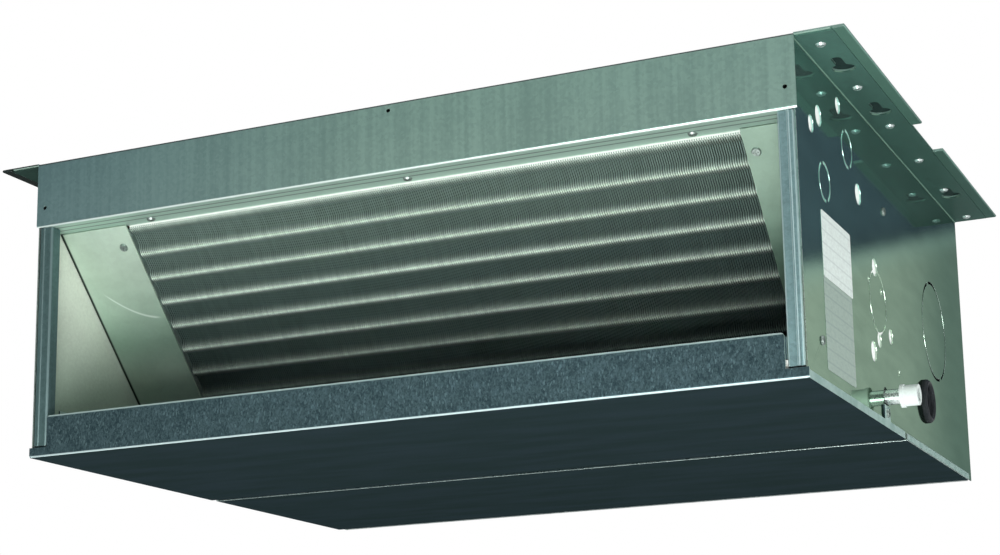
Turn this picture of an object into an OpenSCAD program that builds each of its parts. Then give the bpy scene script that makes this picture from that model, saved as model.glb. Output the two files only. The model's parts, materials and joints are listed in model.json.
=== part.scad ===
// Ducted fan coil unit for a ceiling void: galvanised case, tilted water coil, twin blowers.
// x runs across the outlet, the outlet faces -y, z is up and 0 is the underside of the case.

/* [Case] */
// Width over the side lips of the bottom panels
case_w = 702; // [690:1:740]
// Depth from the outlet face to the filter side
case_d = 570; // [565:1:600]
// Height from the underside to the top sheet
case_h = 268; // [266:1:280]
// Reach of each hanger flange beyond the case
flange_w = 40; // [38:1:50]
// Thickness of the galvanised sheet
sheet = 1.2; // [1:0.1:1.4]
// Inner radius of the folds
bend_r = 1.2; // [0.8:0.1:1.6]
// Height of the header above the outlet
header_h = 60; // [58:1:64]
// Depth of the header's return towards the coil
header_return = 31; // [28:1:34]
// Width of the two posts beside the outlet
post_w = 15; // [13:0.5:17]
// Height of the front lip under the outlet
lip_h = 36; // [32:1:38]
// Height of the small side lips of the bottom panels
side_lip_h = 6.5; // [5:0.5:8]
// Depth of the front bottom panel, up to the seam
front_panel_d = 301; // [298:1:304]
// Clearance between neighbouring pieces
lap = 0.3; // [0.2:0.05:0.4]

/* [Hanger flange] */
// Distance of the keyholes from the case
keyhole_out = 15.5; // [15:0.5:17]
// Radius of the round part of a keyhole
keyhole_r = 9.3; // [8:0.1:10]
// Half width of the neck of a keyhole
neck_r = 4.2; // [3.5:0.1:5]
// Length of the neck, from the round centre to the neck's end centre
neck_l = 22; // [18:1:26]
// Width of the folded outer hem
hem_w = 9.5; // [8:0.5:10]
// Radius of the flange rivets
rivet_r = 2; // [1.5:0.1:2.5]

/* [Coil] */
// Number of tubes in the height of the coil
tubes_high = 10; // [8:2:10]
// Distance between tubes in one row
tube_pitch = 25; // [24.8:0.1:25.2]
// Outer radius of the coil tubes
tube_r = 4.76; // [4.5:0.01:5]
// Distance between fins
fin_pitch = 12; // [10:0.5:16]
// Thickness of a fin
fin_t = 0.8; // [0.6:0.1:1]
// Depth of the ripples on the edges of the fins
ripple = 4; // [3:0.25:5]
// Width of the left blank-off zone, with the headers behind it
left_zone = 78; // [76:1:84]
// Width of the right blank-off zone
right_zone = 54; // [48:1:58]

/* [Drain] */
// Height of the drain tray's floor
tray_z = 16; // [14:0.5:17]
// Outer radius of the drain stub
drain_r = 6.5; // [6:0.25:7]
// Reach of the drain stub beyond the side wall
drain_out = 28; // [24:1:32]

/* [Blowers] */
// Radius of the impellers
wheel_r = 76; // [72:1:78]
// Length of each impeller
wheel_l = 184; // [176:2:186]
// Number of blades on each impeller
blade_n = 32; // [24:1:36]
// Inner width of each scroll housing
scroll_w = 198; // [196:1:204]
// Radius of the fan shaft
shaft_r = 6; // [5.5:0.1:6.5]
// Radius of the motor
motor_r = 52; // [48:1:54]
// Length of the motor
motor_l = 104; // [100:1:108]
// Running clearance of the shaft and of the vent screw, on the radius
run_fit = 0.05; // [0.03:0.01:0.08]

/* [Filter] */
// Depth of the filter bay behind the back frame
bay = 17; // [16.5:0.5:20]
// Width of the filter's frame bars
filter_bar = 18; // [16:1:22]

/* [Hidden] */
$fn = 64;
front_y = -case_d/2;
back_y = case_d/2;
case_x = case_w/2;
wall_x = case_x - sheet - lap;
wall_in = wall_x - sheet;
edge_x = case_x + flange_w;
fold_r = bend_r + sheet;
wall_z0 = sheet + lap;
header_z = case_h - header_h;
flange_top = case_h - sheet - 0.1;
flange_x = edge_x - hem_w - lap;
seat = 0.1;
flange_root = 0.5;
wall_z1 = flange_top - fold_r - flange_root - seat;
post_face = 1.3;
post_z0 = 10;
post_z1 = header_z - lap;
post_in = wall_x - post_w;
post_back = front_y + post_face + fold_r + 12;
lip_x = wall_x - post_w - 1.5;
lip_step = 8.5;
seam_y = front_y + front_panel_d;
seam_gap = 8;
seam_lap = 12;

// Hanger flange: distances along y from the outlet face
keyhole_y = [front_y + 87, front_y + 203, front_y + 474.6];
rivet_y = [for (v = [28, 136, 243.5, 351, 453, 554.5]) front_y + v];
rivet_out = 13.5;
notch_y = [front_y + 250, front_y + 333];

// Linings, tray and fan board
lining_t = 4;
lining_x = wall_in - lap - lining_t;
tray_x = lining_x - lap;
board_y = seam_y - 2;
tray_y0 = front_y + sheet + lap;
tray_y1 = board_y - lap;
tray_h = 30;
drain_y = front_y + 237.5;
drain_z = tray_z + sheet + drain_r + 3;

// Coil, in its own plane: s down the slope, n through the thickness
row_pitch = tube_pitch*sin(60);
coil_l = tubes_high*tube_pitch;
coil_t = 3*row_pitch;
coil_y = front_y + header_return + 1;
coil_z = header_z - 3.5;
coil_low = tray_z + sheet + 5.5;
coil_tilt = acos((coil_z - coil_low)/coil_l);
fin_x0 = -case_x + left_zone;
fin_x1 = case_x - right_zone;
fin_n = floor((fin_x1 - fin_x0 - fin_t)/fin_pitch);
fin_gap = (fin_x1 - fin_x0 - fin_t)/fin_n;
ripple_r = 9;
tube_fit = 0.06;
collar_t = 0.8;
end_t = 1.5;
end_gap = 0.4;
tube_end = 7;
tube_in = 4.4;
blank_n = -3;
blank_top = (header_z - lap - coil_z + (blank_n + sheet)*-sin(coil_tilt))/cos(coil_tilt);
rim_s = (coil_z - tray_z - tray_h - 4)/cos(coil_tilt);
head_r = 9.5;
head_x = fin_x0 - 40;
vent_s = 22;
socket_r = 16;
socket_bore = 12.1;
socket_out = 14;
supply_s = tube_pitch/4 + 8*tube_pitch - tube_pitch/2;
return_s = tube_pitch/4 + 3*tube_pitch - tube_pitch/2;

// Blowers
scroll_r0 = wheel_r + 8;
scroll_k = 0.0014;
scroll_a0 = 150;
scroll_a1 = 450;
fan_y = board_y + 99;
fan_z = case_h/2 + (scroll_at(270) - scroll_at(scroll_a1))/2;
outlet_y = board_y + sheet + 0.1;
outlet_top = scroll_at(scroll_a1);
outlet_low = scroll_r0*sin(scroll_a0);
blower_x = motor_l/2 + 38 + scroll_w/2 + sheet;
inlet_r = 60;
eye_r = wheel_r - 13;
hub_r = 14;
bearing_r = 15;
hub_l = 14;
ring_r = 27;
yoke_y = 34;
cradle_z = fan_z - motor_r - 26;

// Electrical box and cable entry
grommet_y = front_y + 389.5;
grommet_z = 49.8;
grommet_r = 17;
box_d = 34;
box_y = 92;
box_z0 = 24;
box_h = 50;

// Filter bay
frame_y = back_y - bay;
rail_leg = 14;
rail_x = wall_in - lap;
filter_t = bay - 3*sheet - lap - 0.8;
filter_y = frame_y + sheet + lap + sheet + 0.4;
filter_x = rail_x - sheet - 0.5;
filter_z0 = 1.5;
filter_z1 = case_h - 14;

// Openings of the side walls: [y from the outlet face, depth below the top, radius]
right_holes = [
    [43, 59.4, 7], [66, 46, 8.5], [127.3, 18.2, 7], [179, 79.5, 9], [222, 132, 8], [267, 183, 7],
    [226, 194.3, 6.5], [205, 207.7, 9], [289, 210.6, 3], [240, 149.5, 2.5], [199, 147.5, 2.5]
];
// Knock-outs: [y from the outlet face, depth below the top, radius of the ring, turn of its tabs]
right_rings = [[149.3, 49, 15.5, 200], [75, 97.7, 15.5, 200], [227, 161, 27, 60], [440, 142.6, 46, 20]];
left_holes = [[43, 59.4, 7], [66, 46, 8.5], [127.3, 18.2, 7]];
left_rings = [[389.5, 218.2, 17, 60], [440, 142.6, 46, 20]];

steel = [0.62, 0.70, 0.68];
dark_steel = [0.36, 0.42, 0.46];
cream = [0.86, 0.88, 0.78];
copper = [0.75, 0.45, 0.30];
brass = [0.78, 0.65, 0.35];
rubber = [0.08, 0.08, 0.09];
white = [0.92, 0.93, 0.90];

function scroll_at(a) = scroll_r0*exp(scroll_k*(a - scroll_a0));
function polar(r, a) = [r*cos(a), r*sin(a)];
function tube_at(row, k) = [tube_pitch/4 + k*tube_pitch + (row == 1 ? tube_pitch/2 : 0), (row + 0.5)*row_pitch];

// Shape laid in the y-z plane and drawn out along x, about x = 0
module along_x(l) {
    rotate([90, 0, 90]) linear_extrude(l, center = true) children();
}

// Shape laid in the x-z plane and drawn out along y, about y = 0
module along_y(l) {
    rotate([90, 0, 0]) linear_extrude(l, center = true) children();
}

// Round bar along x from x0 to x1
module bar_x(x0, x1, y, z, r) {
    translate([x0, y, z]) rotate([0, 90, 0]) cylinder(x1 - x0, r, r);
}

// Coil plane: children are drawn as (s, n, x)
module in_coil() {
    translate([0, coil_y, coil_z]) rotate([coil_tilt - 90, 0, 0]) rotate([90, 0, 90]) children();
}

// Fan axis: children are drawn in the y-z plane about the axis, and out along x
module on_fan(x) {
    translate([x, fan_y, fan_z]) rotate([90, 0, 90]) children();
}

module quarter_ring() {
    intersection() {
        difference() {
            circle(fold_r);
            circle(bend_r);
        }
        square(fold_r);
    }
}

// Section of a folded sheet: flat legs joined by right-angle bends, 1 for left and -1 for right
module fold(legs, turns, i = 0) {
    square([legs[i], sheet]);
    if (i < len(turns)) {
        translate([legs[i], 0]) {
            if (turns[i] > 0) {
                translate([0, fold_r]) mirror([0, 1]) quarter_ring();
                translate([fold_r, fold_r]) rotate(90) fold(legs, turns, i + 1);
            } else {
                translate([0, -bend_r]) quarter_ring();
                translate([bend_r, -bend_r]) rotate(-90) fold(legs, turns, i + 1);
            }
        }
    }
}

module ring(r1, r2) {
    difference() {
        circle(r2);
        circle(r1);
    }
}

// Slot ring of a knock-out in the right wall, left hanging on two tabs
module knockout(y, z, r, turn) {
    translate([wall_in - 1, y, z]) rotate([0, 90, 0]) rotate(turn) difference() {
        linear_extrude(sheet + 2) ring(r - 1.2, r + 1.2);
        translate([-r - 3, -3, -1]) cube([2*r + 6, 6, sheet + 4]);
    }
}

// Keyholes and rivet holes of the right hanger flange
module flange_cuts() {
    for (y = keyhole_y) {
        translate([case_x + keyhole_out, y, case_h - 6]) {
            cylinder(10, keyhole_r, keyhole_r);
            translate([-neck_r, -neck_l, 0]) cube([2*neck_r, neck_l, 10]);
            translate([0, -neck_l, 0]) cylinder(10, neck_r, neck_r);
        }
    }
    for (y = rivet_y) {
        translate([case_x + rivet_out, y, case_h - 6]) cylinder(10, rivet_r + 0.1, rivet_r + 0.1);
    }
}

// Flat side wall, for the right side
module side_panel(holes, rings) {
    wall_y0 = front_y + sheet + lap;
    difference() {
        translate([wall_in, wall_y0, wall_z0]) cube([sheet, back_y - wall_y0, wall_z1 - wall_z0]);
        translate([wall_in - 1, front_y, 0]) cube([sheet + 2, fold_r + lap, fold_r + lap]);
        for (h = holes) {
            bar_x(wall_in - 1, wall_x + 1, front_y + h[0], case_h - h[1], h[2]);
        }
        for (h = rings) {
            knockout(front_y + h[0], case_h - h[1], h[2], h[3]);
        }
        children();
    }
}

// Flange that leans out from the top of a side wall, for the right side
module hanger_flange() {
    flange_y0 = front_y + fold_r + lap;
    difference() {
        translate([0, (flange_y0 + back_y)/2, 0]) along_y(back_y - flange_y0) translate([wall_x, wall_z1 + seat])
            rotate(90) fold([flange_root, flange_x - wall_x - bend_r], [-1]);
        flange_cuts();
    }
}

// Channel beside the outlet, seated on the inner face of a side wall, for the right side
module front_post() {
    post_x = wall_in - seat;
    translate([0, 0, post_z0]) linear_extrude(post_z1 - post_z0) translate([post_x - sheet, post_back]) rotate(-90)
        fold([12, post_x - post_in - 2*fold_r, 9], [-1, -1]);
    translate([wall_x - post_w*0.42, front_y + post_face + 0.2, post_z0])
        cylinder(post_z1 - post_z0, 1.1, 1.1);
}

module top_panel() color(steel) {
    hem_x = edge_x - hem_w;
    plate_y = front_y + fold_r;
    difference() {
        union() {
            translate([-edge_x + sheet, plate_y, case_h - sheet])
                cube([2*(edge_x - sheet), back_y - plate_y, sheet]);
            translate([0, plate_y + 1, case_h]) along_x(case_w) rotate(180)
                fold([1, header_h - 2*fold_r, header_return - fold_r], [1, 1]);
            for (m = [0, 1]) {
                mirror([m, 0, 0]) {
                    translate([case_x, front_y, case_h - sheet]) cube([flange_w - sheet, fold_r + 1, sheet]);
                    translate([hem_x, front_y, case_h - 2*sheet]) cube([hem_w - sheet, case_d, sheet + 0.1]);
                    translate([edge_x - sheet, 0, case_h - sheet]) rotate([90, 0, 0])
                        cylinder(case_d, sheet, sheet, center = true);
                }
            }
        }
        for (m = [0, 1]) {
            mirror([m, 0, 0]) {
                flange_cuts();
                translate([hem_x, notch_y[0], case_h - 6]) cube([hem_w + 5, notch_y[1] - notch_y[0], 10]);
                translate([case_x - 8.5, front_y + 10, case_h - 42]) rotate([90, 0, 0]) cylinder(20, 1.8, 1.8);
                translate([lining_x - lap, front_y + sheet, header_z - 1]) cube([20, header_return, fold_r + 2]);
            }
        }
        translate([4, front_y + 10, case_h - 6.5]) rotate([90, 0, 0]) cylinder(20, 1.8, 1.8);
        for (x = screw_x()) {
            translate([x, coil_y - 10, header_z - 1]) cylinder(sheet + 2, 1.9, 1.9);
        }
    }
}

function screw_x() = [-case_x*0.695, case_x*0.03, case_x*0.742];

module right_side_panel() color(steel) {
    side_panel(right_holes, right_rings) {
        bar_x(wall_in - 1, wall_x + 1, drain_y, drain_z, drain_r + 2.5);
        bar_x(wall_in - 1, wall_x + 1, grommet_y, grommet_z, grommet_r + 0.1);
        side_screw_bores();
    }
}

module left_side_panel() color(steel) {
    mirror([1, 0, 0]) side_panel(left_holes, left_rings) {
        mirror([1, 0, 0]) water_passages();
        side_screw_bores();
    }
}

module right_hanger_flange() color(steel) {
    hanger_flange();
}

module left_hanger_flange() color(steel) {
    mirror([1, 0, 0]) hanger_flange();
}

module right_front_post() color(steel) {
    front_post();
}

module left_front_post() color(steel) {
    mirror([1, 0, 0]) front_post();
}

// Passages for the two water sockets and the vent, through the left lining and wall
module water_passages() {
    in_coil() {
        translate([supply_s, 0.5*row_pitch, -case_x - 5]) cylinder(20, socket_r + 2, socket_r + 2);
        translate([return_s, 2.5*row_pitch, -case_x - 5]) cylinder(20, socket_r + 2, socket_r + 2);
        translate([vent_s, 2.5*row_pitch, -case_x - 5]) cylinder(20, 7, 7);
    }
}

// Screws in the side walls: [y from the outlet face, z]
side_screws = [[46, 37.3], [264, 196], [233.5, 12.5]];
// Screws that hold the rear bottom panel to the back frame: [x, z]
back_screws = [[-250, 10], [0, 10], [250, 10]];

module side_screw_bores() {
    for (p = side_screws) {
        bar_x(wall_in - 1, wall_x + 1, front_y + p[0], p[1], 2.1);
    }
}

module back_screw_bores() {
    for (p = back_screws) {
        translate([p[0], frame_y, p[1]]) rotate([90, 0, 0]) cylinder(10, 2.1, 2.1, center = true);
    }
}

// Pan-head screw along -x with its head outside x = 0
module screw_x_out(l) {
    rotate([0, 90, 0]) difference() {
        union() {
            cylinder(1.6, 4, 3.2);
            translate([0, 0, -l]) cylinder(l + 0.1, 2, 2);
        }
        translate([-2.4, -0.4, 0.9]) cube([4.8, 0.8, 2]);
        translate([-0.4, -2.4, 0.9]) cube([0.8, 4.8, 2]);
    }
}

module case_screws() color(white) {
    for (m = [0, 1]) {
        mirror([m, 0, 0]) for (i = [0:2]) {
            translate([i < 2 ? wall_x : case_x, front_y + side_screws[i][0], side_screws[i][1]])
                screw_x_out(i < 2 ? sheet + lap : 2*sheet + 2*lap);
        }
    }
    for (p = back_screws) {
        translate([p[0], frame_y + sheet, p[1]]) rotate([0, 0, 90]) screw_x_out(2*sheet + lap + 2);
    }
}

module flange_rivets() color(white) {
    for (m = [0, 1]) {
        mirror([m, 0, 0]) for (y = rivet_y) {
            translate([case_x + rivet_out, y, flange_top - sheet]) {
                translate([0, 0, -1.6]) cylinder(1.6, 3, 4.2);
                cylinder(case_h - flange_top + sheet - 0.1, rivet_r, rivet_r);
            }
        }
    }
}

// Tab of a bottom panel's side lip, with its screw hole
module lip_tab(y) {
    for (m = [0, 1]) {
        mirror([m, 0, 0]) difference() {
            translate([case_x - sheet, y - 9, 0]) cube([sheet, 18, 19]);
            bar_x(case_x - 3, case_x + 1, y, 12.5, 2.1);
        }
    }
}

module front_bottom_panel() color(dark_steel) {
    floor_y = seam_y - seam_gap;
    difference() {
        translate([0, front_y, lip_h]) along_x(case_w) rotate(-90)
            fold([lip_h - fold_r, floor_y - front_y - fold_r], [1]);
        for (m = [0, 1]) {
            mirror([m, 0, 0]) {
                translate([lip_x, front_y - 1, lip_step]) cube([case_x, sheet + bend_r + 1.5, lip_h]);
                translate([lip_x - 3, front_y - 1, lip_h - 3]) difference() {
                    cube([4, sheet + 2, 4]);
                    rotate([-90, 0, 0]) cylinder(sheet + 2, 3, 3);
                }
            }
        }
    }
    translate([-wall_in + lap, floor_y - sheet, 0]) cube([2*(wall_in - lap), sheet, 2*sheet + lap]);
    translate([-wall_in + lap, floor_y - sheet, sheet + lap])
        cube([2*(wall_in - lap), seam_gap + seam_lap, sheet]);
    for (m = [0, 1]) {
        mirror([m, 0, 0]) translate([case_x - sheet, front_y + 1, 0])
            cube([sheet, floor_y - front_y - 1, side_lip_h]);
    }
    lip_tab(front_y + side_screws[2][0]);
}

module rear_bottom_panel() color(dark_steel) {
    d = frame_y - lap - seam_y;
    translate([-case_x, seam_y, 0]) cube([case_w, d, sheet]);
    for (m = [0, 1]) {
        mirror([m, 0, 0]) translate([case_x - sheet, seam_y, 0]) cube([sheet, d, side_lip_h]);
    }
    difference() {
        translate([-wall_in + lap, frame_y - lap - sheet, 0]) cube([2*(wall_in - lap), sheet, 16]);
        back_screw_bores();
    }
}

module back_frame() color(steel) {
    w = wall_in - lap;
    z1 = case_h - sheet - lap;
    difference() {
        translate([0, frame_y + sheet, z1]) along_x(2*w) translate([-14, 0]) rotate(0) mirror([0, 1])
            fold([14 - fold_r, z1 - sheet - lap - fold_r], [1]);
        translate([-w + 42, frame_y - 5, 30]) cube([2*w - 84, 10, z1 - 60]);
        back_screw_bores();
    }
}

module top_lining() color(cream) {
    translate([-lining_x + lap, front_y + header_return + 6, case_h - sheet - lap - lining_t])
        cube([2*(lining_x - lap), board_y - lap - front_y - header_return - 6, lining_t]);
}

module side_lining() {
    z0 = 2*sheet + 2*lap;
    translate([lining_x, front_y + 18, z0])
        cube([lining_t, board_y - lap - front_y - 18, case_h - 2*sheet - 2*lap - z0]);
}

module right_lining() color(cream) {
    difference() {
        side_lining();
        bar_x(lining_x - 1, wall_in, drain_y, drain_z, drain_r + 2.5);
    }
}

module left_lining() color(cream) {
    difference() {
        mirror([1, 0, 0]) side_lining();
        water_passages();
    }
}

// Block inside the case from y0 to y1, inset by e, with its front corners cut out around the posts
module tray_block(y0, y1, z0, z1, e) {
    difference() {
        translate([-tray_x + e, y0 + e, z0]) cube([2*(tray_x - e), y1 - y0 - 2*e, z1 - z0]);
        for (m = [0, 1]) {
            mirror([m, 0, 0]) translate([post_in - lap - e, front_y - 1, z0 - 1])
                cube([2*post_w, post_back - front_y + lap + e + 1, z1 - z0 + 2]);
        }
    }
}

module drain_tray() color(dark_steel) {
    difference() {
        tray_block(tray_y0, tray_y1, tray_z, tray_z + tray_h, 0);
        tray_block(tray_y0, tray_y1, tray_z + sheet, tray_z + tray_h + 10, sheet);
        translate([-tray_x - 1, tray_y0 - 1, lip_h - 3]) cube([2*tray_x + 2, 30, 40]);
        bar_x(tray_x - 5, tray_x + 1, drain_y, drain_z, drain_r + 0.1);
    }
}

module tray_insulation() color(white) {
    tray_block(tray_y0 + 2, seam_y - seam_gap - sheet - lap, sheet + lap, tray_z - lap, 0);
}

module drain_stub() color(steel) {
    difference() {
        union() {
            bar_x(tray_x - 8, wall_x + drain_out - 2, drain_y, drain_z, drain_r);
            bar_x(tray_x - sheet - 1.6, tray_x - sheet - 0.1, drain_y, drain_z, drain_r + 3);
        }
        bar_x(tray_x - 9, wall_x + drain_out, drain_y, drain_z, drain_r - 1);
    }
}

module drain_collar() color(white) {
    difference() {
        union() {
            bar_x(wall_x + drain_out - 15, wall_x + drain_out, drain_y, drain_z, drain_r + 2.4);
            bar_x(wall_x + drain_out - 15, wall_x + drain_out - 12, drain_y, drain_z, drain_r + 3.4);
        }
        bar_x(wall_x + drain_out - 16, wall_x + drain_out - 2, drain_y, drain_z, drain_r + 0.05);
        bar_x(wall_x + drain_out - 3, wall_x + drain_out + 1, drain_y, drain_z, drain_r - 1);
    }
}

module cable_grommet() color(rubber) {
    grip = 2*sheet + lap + 0.2;
    translate([wall_x, grommet_y, grommet_z]) rotate([0, 90, 0]) rotate_extrude() {
        translate([grommet_r - 3, -grip - 2]) square([3, grip + 3]);
        translate([grommet_r - 3, 0.1]) square([6, 2.4]);
        translate([grommet_r, 2.5]) circle(2.4);
        translate([grommet_r - 3, -grip - 3]) square([5.5, 3]);
        translate([9, -1]) square([grommet_r - 10, 1.6]);
    }
}

// One fin: plate with rippled edges, pierced for the tubes
module fin_profile() {
    difference() {
        union() {
            translate([0, ripple]) square([coil_l, coil_t - 2*ripple]);
            for (k = [0:tubes_high - 2]) {
                translate([(k + 0.92)*tube_pitch, ripple_r]) circle(ripple_r);
                translate([(k + 0.92)*tube_pitch, coil_t - ripple_r]) circle(ripple_r);
            }
        }
        for (row = [0:2], k = [0:tubes_high - 1]) {
            translate(tube_at(row, k)) circle(tube_r + tube_fit);
        }
    }
}

module coil_fins() color(steel) {
    in_coil() {
        for (i = [0:fin_n]) {
            translate([0, 0, fin_x0 + i*fin_gap]) linear_extrude(fin_t) fin_profile();
        }
        for (p = [tube_at(0, 0), tube_at(2, 0), tube_at(0, tubes_high - 1), tube_at(2, tubes_high - 1)]) {
            translate([p[0], p[1], fin_x0]) linear_extrude(fin_x1 - fin_x0)
                ring(tube_r + tube_fit, tube_r + tube_fit + collar_t);
        }
    }
}

module coil_tubes() color(copper) {
    in_coil() for (row = [0:2], k = [0:tubes_high - 1]) {
        p = tube_at(row, k);
        translate([p[0], p[1], fin_x0 - tube_end]) linear_extrude(fin_x1 - fin_x0 + 2*tube_end)
            ring(tube_in, tube_r);
    }
}

// Half-round bend between two tube ends, bulging along +x
module u_bend(p, q, x) {
    d = q - p;
    translate([(p[0] + q[0])/2, (p[1] + q[1])/2, x]) rotate(atan2(d[1], d[0])) rotate([90, 0, 0])
        rotate_extrude(angle = 180) translate([tube_pitch/2, 0]) ring(tube_in, tube_r);
}

module return_bends() color(copper) {
    in_coil() for (c = [0:2:tubes_high - 2]) {
        for (row = [0:2]) {
            u_bend(tube_at(row, c), tube_at(row, c + 1), fin_x1 + tube_end + 0.05);
        }
        mirror([0, 0, 1]) {
            u_bend(tube_at(0, c + 1), tube_at(1, c + 1), -fin_x0 + tube_end + 0.05);
            u_bend(tube_at(1, c), tube_at(2, c), -fin_x0 + tube_end + 0.05);
        }
    }
}

// Tube plate at the right end of the fins, flanged outward at the front and back edges
module end_plate(x) {
    difference() {
        union() {
            translate([-1, -1, x + end_gap]) cube([coil_l + 2, coil_t + 2, end_t]);
            translate([-1, -1, x + end_gap]) cube([coil_l + 2, end_t, 16]);
            translate([-1, coil_t + 1 - end_t, x + end_gap]) cube([coil_l + 2, end_t, 16]);
        }
        for (row = [0:2], k = [0:tubes_high - 1]) {
            p = tube_at(row, k);
            translate([p[0], p[1], x]) cylinder(end_t + 1, tube_r + 0.1, tube_r + 0.1);
        }
    }
}

module coil_end_left() color(steel) {
    in_coil() mirror([0, 0, 1]) end_plate(-fin_x0);
}

module coil_end_right() color(steel) {
    in_coil() end_plate(fin_x1);
}

module coil_pads() color(rubber) {
    z0 = tray_z + sheet + 0.05;
    y = coil_y + (coil_l + 1)*sin(coil_tilt);
    z1 = coil_z - (coil_l + 1)*cos(coil_tilt) - sin(coil_tilt);
    for (x = [fin_x0 - 12, fin_x1 + 2]) {
        translate([x, y - 16, z0]) cube([10, 28, z1 - z0 - 0.1]);
    }
}

module coil_seal() color(rubber) {
    z0 = coil_z + 0.8;
    translate([fin_x0, coil_y - 1 + lap, z0]) cube([fin_x1 - fin_x0, 3.2, header_z + sheet + 3 - z0]);
}

// Plate that closes the coil plane between the fins and a side lining, from x0 to x1
module blank_off(x0, x1, hole) {
    difference() {
        translate([-blank_top, blank_n, x0]) cube([coil_l - 1.5 + blank_top, sheet, x1 - x0]);
        translate([15, blank_n - 1, hole]) rotate([-90, 0, 0]) cylinder(sheet + 2, 2.1, 2.1);
        for (x = [-lining_x, tray_x - sheet - lap]) {
            translate([rim_s, blank_n - 1, x]) cube([coil_l, sheet + 2, lining_x - tray_x + sheet + lap]);
        }
    }
}

module blank_off_left() color(cream) {
    in_coil() blank_off(-lining_x + lap, fin_x0 - 0.6, fin_x0 - 12);
}

module blank_off_right() color(cream) {
    in_coil() blank_off(fin_x1 + 0.6, lining_x - lap, fin_x1 + 9);
}

// Pan-head screw along +z with its head below z = 0
module screw_up(l) {
    difference() {
        union() {
            translate([0, 0, -1.6]) cylinder(1.6, 3.2, 4);
            translate([0, 0, -0.1]) cylinder(l + 0.1, 1.8, 1.8);
        }
        translate([-2.4, -0.4, -2.6]) cube([4.8, 0.8, 1.8]);
        translate([-0.4, -2.4, -2.6]) cube([0.8, 4.8, 1.8]);
    }
}

module coil_screws() color(white) {
    for (x = screw_x()) {
        translate([x, coil_y - 10, header_z]) screw_up(sheet + 4);
    }
    in_coil() for (x = [fin_x0 - 12, fin_x1 + 9]) {
        translate([15, blank_n, x]) rotate([-90, 0, 0]) screw_up(sheet + 0.4);
    }
}

// Header pipe along the slope, with a stub to each circuit of one row
module header_pipe(row, first) {
    n = (row + 0.5)*row_pitch;
    s1 = coil_l - 6;
    difference() {
        union() {
            translate([2, n, head_x]) rotate([0, 90, 0]) cylinder(s1 - 2, head_r, head_r);
            for (c = [first:2:tubes_high - 1]) {
                p = tube_at(row, c);
                translate([p[0], p[1], head_x]) cylinder(fin_x0 - tube_end - 0.05 - head_x, tube_r, tube_r);
            }
        }
        translate([4, n, head_x]) rotate([0, 90, 0]) cylinder(s1 - 6, head_r - 1.2, head_r - 1.2);
        for (c = [first:2:tubes_high - 1]) {
            p = tube_at(row, c);
            translate([p[0], p[1], head_x]) cylinder(fin_x0 - head_x, tube_in, tube_in);
        }
        children();
    }
}

module supply_header() color(copper) {
    in_coil() header_pipe(0, 0) {
        translate([supply_s, 0.5*row_pitch, head_x - 20]) cylinder(20, 7.1, 7.1);
    }
}

module return_header() color(copper) {
    in_coil() header_pipe(2, 1) {
        translate([return_s, 2.5*row_pitch, head_x - 20]) cylinder(20, 7.1, 7.1);
        translate([vent_s, 2.5*row_pitch, head_x - 20]) cylinder(20, 3.1, 3.1);
    }
}

// Threaded water socket, entering a header through a neck
module socket() {
    x0 = -wall_x - socket_out;
    difference() {
        union() {
            translate([0, 0, x0]) cylinder(-lining_x - 0.2 - x0, socket_r, socket_r);
            translate([0, 0, x0 + 4]) cylinder(14, socket_r + 1.6, socket_r + 1.6, $fn = 6);
            translate([0, 0, x0 + 18.5]) cylinder(head_x - head_r + 2 - x0 - 18.5, 7, 7);
        }
        translate([0, 0, x0 - 1]) cylinder(19, socket_bore, socket_bore);
        translate([0, 0, x0]) cylinder(head_x - x0, 5.5, 5.5);
    }
}

module supply_socket() color(brass) {
    in_coil() translate([supply_s, 0.5*row_pitch, 0]) socket();
}

module return_socket() color(brass) {
    in_coil() translate([return_s, 2.5*row_pitch, 0]) socket();
}

module air_vent() color(brass) {
    in_coil() translate([vent_s, 2.5*row_pitch, 0]) difference() {
        union() {
            translate([0, 0, head_x - head_r - 18]) cylinder(16, 5, 5);
            translate([0, 0, head_x - head_r - 6]) cylinder(8, 3, 3);
        }
        translate([0, 0, head_x - head_r - 19]) cylinder(11, 2.5 + run_fit, 2.5 + run_fit);
        translate([0, 0, head_x - head_r - 10]) cylinder(13, 1, 1);
    }
}

module air_vent_screw() color(steel) {
    x0 = head_x - head_r - 18;
    in_coil() translate([vent_s, 2.5*row_pitch, 0]) difference() {
        union() {
            translate([0, 0, x0 - 0.1]) cylinder(9, 2.5, 2.5);
            translate([0, 0, x0 - 3.3]) cylinder(3, 4, 4);
            translate([0, 0, x0 - 0.4]) cylinder(0.4, 2.5, 2.5);
        }
        translate([-5, -0.5, x0 - 4]) cube([10, 1, 1.8]);
    }
}

module fan_board() color(steel) {
    w = wall_in - lap;
    z0 = 2*sheet + 2*lap + 0.1;
    z1 = case_h - sheet - lap;
    difference() {
        translate([0, board_y, z1]) along_x(2*w) translate([14, 0]) rotate(180)
            fold([14 - fold_r, z1 - z0 - 2*fold_r, 14 - fold_r], [1, 1]);
        for (x = [-blower_x, blower_x]) {
            translate([x - scroll_w/2, board_y - 1, fan_z + outlet_low])
                cube([scroll_w, sheet + 2, outlet_top - outlet_low]);
        }
    }
}

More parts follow.
